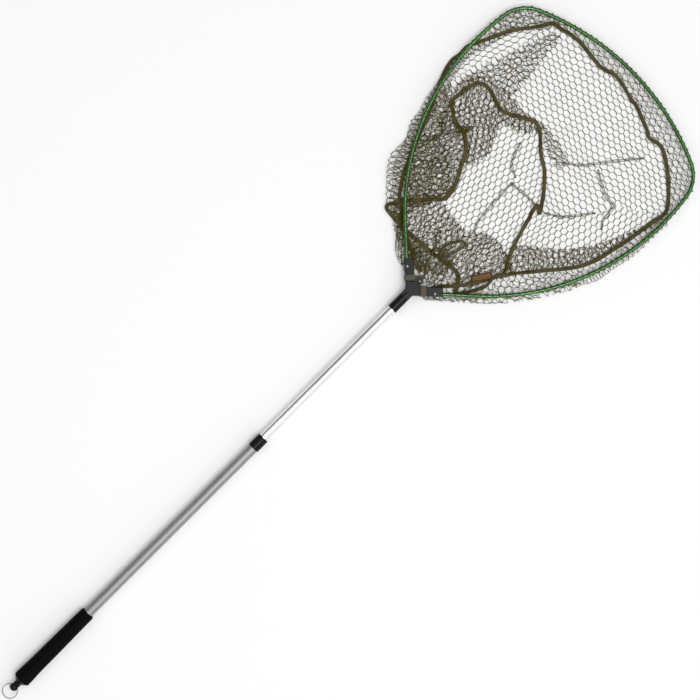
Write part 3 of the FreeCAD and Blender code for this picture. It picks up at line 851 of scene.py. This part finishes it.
def ribbon(name, line, width, thick, material, tilt=None):
    """A folded binding tape along a line: two layers joined at one edge."""
    half, gap, fold = width / 2, thick * 0.25, thick
    profile = np.array([
        (-half, thick), (half - fold, thick), (half - 0.3 * fold, 0.7 * thick), (half, 0),
        (half - 0.3 * fold, -0.7 * thick), (half - fold, -thick), (-half, -thick),
        (-half, -gap), (half - 1.3 * fold, -gap), (half - 1.3 * fold, gap), (-half, gap)])
    count, sides = len(line), len(profile)
    tangent = unit(np.gradient(line, axis=0))
    side = unit(np.cross(tangent, (0, 0, 1)))
    up = np.cross(side, tangent)
    if tilt is not None:
        c, s = np.cos(tilt)[:, None], np.sin(tilt)[:, None]
        side, up = side * c + up * s, up * c - side * s
    points = (line[:, None] + side[:, None] * profile[None, :, :1]
              + up[:, None] * profile[None, :, 1:])
    round_profile = lengths(np.vstack([profile, profile[:1]]))[:-1]
    run = lengths(line)
    uv = np.stack(np.broadcast_arrays(round_profile[None], run[:, None]), axis=-1)
    index = np.arange(count * sides).reshape(count, sides)
    a, b = index[:-1], index[1:]
    quads = np.stack([a, b, np.roll(b, -1, 1), np.roll(a, -1, 1)], axis=-1).reshape(-1, 4)
    caps = np.stack([index[0], index[-1, ::-1]])
    piece = mesh_object(name, points.reshape(-1, 3), [quads, caps], material,
                        uvs=uv.reshape(-1, 2))
    return piece, run[-1]


def make_label():
    """A small woven label, gently curved, with a raised border and plain stripes."""
    nx, ny = 46, 16
    u, v = np.meshgrid(np.linspace(-1, 1, nx), np.linspace(-1, 1, ny), indexing="ij")
    edge = np.maximum(np.abs(u) ** 12, np.abs(v) ** 6)
    sag = 1.3 * np.sin(2.2 * u + 0.4) + 0.5 * v * u
    top = LABEL_HEIGHT + sag + 0.15 * edge + 0.05 * np.sin(40 * v)
    a = math.radians(LABEL_DEG)
    x, y = u * LABEL_LONG / 2, v * LABEL_TALL / 2 + 0.4 * np.sin(3 * u)
    right = LABEL_AT[0] + x * math.cos(a) - y * math.sin(a)
    forward = LABEL_AT[1] + x * math.sin(a) + y * math.cos(a)
    upper = np.stack([right, forward, top], axis=-1)
    lower = np.stack([right, forward, top - LABEL_THICK], axis=-1)
    points = np.vstack([to_row(upper.reshape(-1, 3)), to_row(lower.reshape(-1, 3))])
    index = np.arange(nx * ny).reshape(nx, ny)
    a0, a1, b1, b0 = index[:-1, :-1], index[1:, :-1], index[1:, 1:], index[:-1, 1:]
    face = np.stack([a0, a1, b1, b0], axis=-1).reshape(-1, 4)
    under = face[:, ::-1] + nx * ny
    rim = np.concatenate([index[:, 0], index[-1, 1:], index[-2::-1, -1], index[0, -2:0:-1]])
    after = np.roll(rim, -1)
    walls = np.stack([rim, rim + nx * ny, after + nx * ny, after], axis=-1)
    uv = np.stack([(u + 1) / 2, (v + 1) / 2], axis=-1).reshape(-1, 2)
    return mesh_object("woven_label", points, [np.vstack([face, under, walls])],
                       label_material(), uvs=np.vstack([uv, uv]))


def seam_line(points, closed, height, seed):
    """A seam's smooth line in row metres, a little uneven in height."""
    line = even(smooth_line(points, closed), TAPE_SPACING)
    wave = ripple((len(line), 2), seed, (10, 40), (0, 0.1))[:, 0]
    z = np.maximum(height + 1.2 * wave, 1.4)
    return to_row(np.column_stack([line, z]))


# ---------------------------------------------------------------- build

wall, hoop_at = lay_wall()
band, band_at, band_inward = lay_band(hoop_at)
sleeve = lay_sleeve(band_at, band_inward)

folded_part = np.r_[np.flatnonzero(column_at >= upper_s[WALL_FROM]),
                    np.flatnonzero(column_at <= upper_s[WALL_TO])]
wall_netting = netting("bag_wall_netting", to_row(wall[folded_part]), WALL_FABRIC, twine,
                       first=folded_part[0])
band_columns = column_at[:len(band)]
for name, part in (("hem_band_right_netting", band_columns <= upper_s[FRONT_FROM]),
                   ("hem_band_left_netting", band_columns >= upper_s[FRONT_TO])):
    netting(name, to_row(band[part]), BAND_FABRIC, twine)
front_outline, front_rise = front_band()
front_runs = []
for layer, direction in enumerate(FRONT_DIRECTIONS):
    front_runs += flat_layer(even(front_outline, 2), direction, FOLD_HEIGHT + LAYER_UP * layer,
                             FRONT_SEED + FRONT_SEED_STEP * layer, EVEN_SWAY, EVEN_WAVE,
                             front_rise)
runs_object("hem_band_front_netting", front_runs, twine)
off_blocks = (band_at > SLEEVE_CLEAR) & (band_at < hoop_s[-1] - SLEEVE_CLEAR)
sleeve_netting = netting("hem_sleeve_netting", to_row(sleeve[off_blocks]), SLEEVE_FABRIC, twine)
for order, (name, (direction, route)) in enumerate(EVEN_LAYERS.items()):
    outline = even(smooth_line(route, True, 8), 2)
    runs = flat_layer(outline, direction, EVEN_HEIGHT, EVEN_SEED + EVEN_SEED_STEP * order,
                      EVEN_SWAY, EVEN_WAVE)
    runs_object(name + "_netting", runs, twine)

upper_run = seam_line(UPPER_SEAM, False, UPPER_TAPE_HEIGHT, 71)
upper_tilt = 0.5 * ripple((len(upper_run), 2), 72, (6, 20), (0, 0.1))[:, 0]
upper_tape, upper_length = ribbon("upper_seam_binding", upper_run, TAPE_W, TAPE_T, tape_cloth,
                                  upper_tilt)
lower_run = seam_line(LOWER_SEAM, True, LOWER_TAPE_HEIGHT, 73)
lower_tilt = 0.5 * ripple((len(lower_run), 2), 74, (6, 20), (0, 0.1))[:, 0]
lower_tape, lower_length = ribbon("lower_seam_binding", lower_run, TAPE_W, TAPE_T, tape_cloth,
                                  lower_tilt)
loop_run = seam_line(PULL_LOOP, True, LOOP_HEIGHT, 75)
loop_tape, loop_length = ribbon("pull_loop_tape", loop_run, LOOP_W, TAPE_T, tape_cloth)

for order, (name, (layers, direction, route)) in enumerate(FOLDS.items()):
    outline = even(smooth_line(route, True, 8), 2)
    runs = []
    for layer in range(layers):
        seed = FOLD_SEED + FOLD_SEED_STEP * order + FOLD_LAYER_STEP * layer
        runs += flat_layer(outline, direction + LAYER_TURN * layer,
                           FOLD_HEIGHT + LAYER_UP * layer, seed)
    runs_object("fold_" + name, runs, twine)
for order, route in enumerate(CREASES):
    strip = crease_surface(route)
    run = lengths(even(smooth_line(route), ROW))[-1]
    netting(f"crease_{order + 1}", to_row(strip), run, twine)
tie_line = even(smooth_line(TIE_TAPE), TAPE_SPACING)
tie_height = 9.0 - 4.0 * np.linspace(0, 1, len(tie_line))
tie_tape, _ = ribbon("tie_tape", to_row(np.column_stack([tie_line, tie_height])), TIE_W, TAPE_T,
                     tape_cloth)
tail_line = even(smooth_line(STRAP_TAIL), TAPE_SPACING)
tail_height = np.linspace(AXIS_Z / MM, 11.0, len(tail_line))
strap_tail, _ = ribbon("strap_tail", to_row(np.column_stack([tail_line, tail_height])), TAIL_W,
                       2 * TAPE_T, strap_cloth)
label = make_label()

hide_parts("net_bag")
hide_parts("label")
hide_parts("hem_sleeve")
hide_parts("upper_seam_tape")
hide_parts("lower_seam_tape")
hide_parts("pull_loop")


# ---------------------------------------------------------------- camera, light, floor

FLOOR_HALF = 30.0
WORLD_STRENGTH = 0.98
LIGHT_AIM = (0, 0.1, 0)
KEY_AT, KEY_SIZE, KEY_WATTS = (1.3, 0.3, 5.4), (3.4, 2.6), 138
FILL_AT, FILL_SIZE, FILL_WATTS = (-2.0, -1.2, 3.4), (2.0, 1.2), 8
CAMERA_AT, CAMERA_TURN = (-0.0016, 0.0947, 4.01), 45.02
CAMERA_HEIGHT, VIEW_WIDTH = 4.0, 1.470


def make_floor():
    """A plain pale floor."""
    half = FLOOR_HALF
    points = [(-half, -half, 0), (half, -half, 0), (half, half, 0), (-half, half, 0)]
    mesh = bpy.data.meshes.new("floor")
    mesh.from_pydata(points, [], [(0, 1, 2, 3)])
    floor = bpy.data.objects.new("floor", mesh)
    bpy.context.scene.collection.objects.link(floor)
    material, nodes, links = material_nodes("floor")
    shader = nodes["Principled BSDF"]
    shader.inputs["Base Color"].default_value = (0.93, 0.93, 0.93, 1)
    shader.inputs["Roughness"].default_value = 0.9
    mesh.materials.append(material)


def make_world():
    """Brighter from the right and above than from the left, so that round metal shows shape."""
    world = bpy.data.worlds.new("studio")
    world.use_nodes = True
    bpy.context.scene.world = world
    nodes, links = world.node_tree.nodes, world.node_tree.links
    place = nodes.new("ShaderNodeTexCoord")
    split = nodes.new("ShaderNodeSeparateXYZ")
    links.new(place.outputs["Generated"], split.inputs["Vector"])
    sideways = nodes.new("ShaderNodeMath")
    sideways.operation = "MULTIPLY"
    sideways.inputs[1].default_value = 0.60
    links.new(split.outputs["X"], sideways.inputs[0])
    toward = nodes.new("ShaderNodeMath")
    toward.operation = "MULTIPLY_ADD"
    toward.inputs[1].default_value = 0.75
    links.new(split.outputs["Z"], toward.inputs[0])
    links.new(sideways.outputs["Value"], toward.inputs[2])
    ramp = nodes.new("ShaderNodeValToRGB")
    ramp.color_ramp.elements[0].position = 0.05
    ramp.color_ramp.elements[0].color = (0.25, 0.25, 0.25, 1)
    ramp.color_ramp.elements[1].position = 0.95
    ramp.color_ramp.elements[1].color = (1, 1, 1, 1)
    links.new(toward.outputs["Value"], ramp.inputs["Fac"])
    links.new(ramp.outputs["Color"], nodes["Background"].inputs["Color"])
    nodes["Background"].inputs["Strength"].default_value = WORLD_STRENGTH


def make_light(name, place, size, power):
    """A soft rectangular light that points at the net."""
    data = bpy.data.lights.new(name, "AREA")
    data.shape = "RECTANGLE"
    data.size, data.size_y = size
    data.energy = power
    light = bpy.data.objects.new(name, data)
    bpy.context.scene.collection.objects.link(light)
    light.location = place
    direction = np.array(LIGHT_AIM, float) - np.array(place, float)
    light.rotation_euler = Vector(direction).to_track_quat("-Z", "Y").to_euler()


def make_camera():
    """Straight above the object, turned so that the handle runs up to the right."""
    data = bpy.data.cameras.new("camera")
    camera = bpy.data.objects.new("camera", data)
    bpy.context.scene.collection.objects.link(camera)
    data.sensor_width = 36.0
    data.lens = data.sensor_width * CAMERA_HEIGHT / VIEW_WIDTH
    camera.location = CAMERA_AT
    camera.rotation_euler = (0, 0, math.radians(CAMERA_TURN))
    data.clip_end = 50
    bpy.context.scene.camera = camera


make_floor()
make_world()
make_light("key", KEY_AT, KEY_SIZE, KEY_WATTS)
make_light("fill", FILL_AT, FILL_SIZE, FILL_WATTS)
make_camera()
bpy.context.scene.view_settings.view_transform = "Standard"
